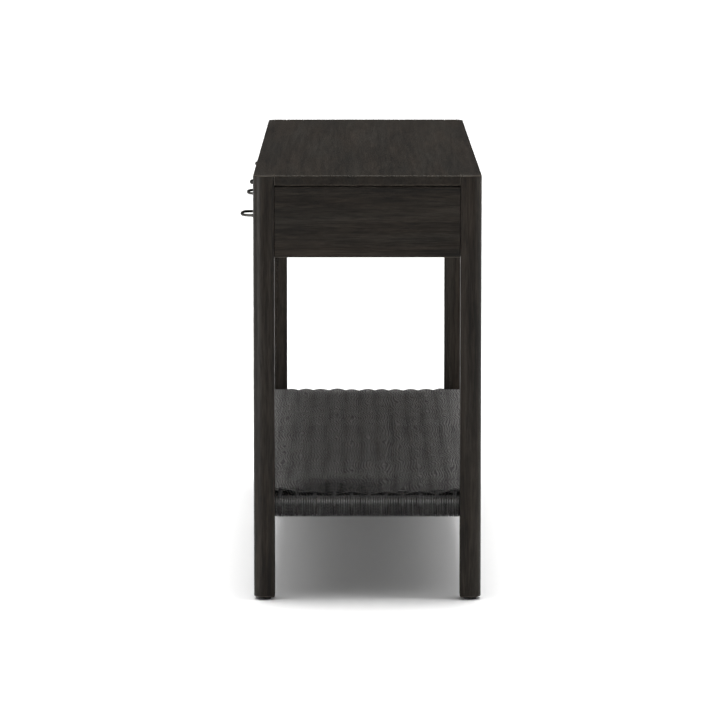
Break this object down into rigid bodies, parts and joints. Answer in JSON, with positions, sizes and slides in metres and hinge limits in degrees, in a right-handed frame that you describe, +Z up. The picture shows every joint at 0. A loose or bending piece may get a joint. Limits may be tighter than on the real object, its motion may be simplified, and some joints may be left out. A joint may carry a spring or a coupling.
{
  "type": "console table",
  "caption": "Long narrow table with square round-cornered legs, a slab top, a case of drawers with bowed metal pulls, and a low shelf of woven cord.",
  "frame": {"origin": "on the floor under the middle of the overall box, pulls included", "axes": "+X along the length, +Y towards the back, +Z up; the drawers and their pulls face -Y"},
  "size_m": [1.6, 0.4571, 0.806],
  "materials": {
    "stained_wood": "near-black stain with open grain, satin lacquer",
    "box_wood": "brown stained hardwood, matt",
    "cord": "charcoal twisted cord, matt",
    "dark_iron": "dark gunmetal, satin",
    "runner_steel": "zinc plated",
    "screw_steel": "zinc plated",
    "glide_plastic": "black nylon"
  },
  "bodies": {
    "frame": {"back_apron": "stained_wood", "case_bottom_rail": "stained_wood", "case_partition": "box_wood", "case_top_rail": "stained_wood", "front_left_glide": "glide_plastic", "front_left_leg": "stained_wood", "front_right_glide": "glide_plastic", "front_right_leg": "stained_wood", "front_shelf_rail": "stained_wood", "left_end_apron": "stained_wood", "left_end_rail_cord": "cord", "left_inner_runner_case_member": "runner_steel", "left_outer_runner_case_member": "runner_steel", "left_runner_packer": "box_wood", "left_shelf_end_rail": "stained_wood", "rear_left_glide": "glide_plastic", "rear_left_leg": "stained_wood", "rear_right_glide": "glide_plastic", "rear_right_leg": "stained_wood", "rear_shelf_rail": "stained_wood", "right_end_apron": "stained_wood", "right_end_rail_cord": "cord", "right_inner_runner_case_member": "runner_steel", "right_outer_runner_case_member": "runner_steel", "right_runner_packer": "box_wood", "right_shelf_end_rail": "stained_wood", "shelf_stretcher": "stained_wood", "top_slab": "stained_wood", "woven_shelf": "cord"},
    "left_drawer": {"left_drawer_back": "box_wood", "left_drawer_bottom": "box_wood", "left_drawer_front": "stained_wood", "left_drawer_inner_side": "box_wood", "left_drawer_outer_side": "box_wood", "left_drawer_pull_1": "dark_iron", "left_drawer_pull_1_screw_1": "screw_steel", "left_drawer_pull_1_screw_2": "screw_steel", "left_drawer_pull_2": "dark_iron", "left_drawer_pull_2_screw_1": "screw_steel", "left_drawer_pull_2_screw_2": "screw_steel", "left_inner_runner_drawer_member": "runner_steel", "left_outer_runner_drawer_member": "runner_steel"},
    "right_drawer": {"right_drawer_back": "box_wood", "right_drawer_bottom": "box_wood", "right_drawer_front": "stained_wood", "right_drawer_inner_side": "box_wood", "right_drawer_outer_side": "box_wood", "right_drawer_pull_1": "dark_iron", "right_drawer_pull_1_screw_1": "screw_steel", "right_drawer_pull_1_screw_2": "screw_steel", "right_drawer_pull_2": "dark_iron", "right_drawer_pull_2_screw_1": "screw_steel", "right_drawer_pull_2_screw_2": "screw_steel", "right_inner_runner_drawer_member": "runner_steel", "right_outer_runner_drawer_member": "runner_steel"},
    "left_middle_members": {"left_inner_runner_middle_member": "runner_steel", "left_outer_runner_middle_member": "runner_steel"},
    "right_middle_members": {"right_inner_runner_middle_member": "runner_steel", "right_outer_runner_middle_member": "runner_steel"}
  },
  "joints": [
    {"name": "left_drawer_slide", "type": "slide", "parent": "frame", "child": "left_drawer", "axis": [0, -1, 0], "range_m": [0, 0.34]},
    {"name": "left_middle_member_slide", "type": "slide", "parent": "frame", "child": "left_middle_members", "axis": [0, -1, 0], "range_m": [0, 0.17]},
    {"name": "right_drawer_slide", "type": "slide", "parent": "frame", "child": "right_drawer", "axis": [0, -1, 0], "range_m": [0, 0.34]},
    {"name": "right_middle_member_slide", "type": "slide", "parent": "frame", "child": "right_middle_members", "axis": [0, -1, 0], "range_m": [0, 0.17]}
  ],
  "couplings": [
    {"joint": "left_middle_member_slide", "follows": "left_drawer_slide", "ratio": 0.5},
    {"joint": "right_middle_member_slide", "follows": "right_drawer_slide", "ratio": 0.5}
  ]
}
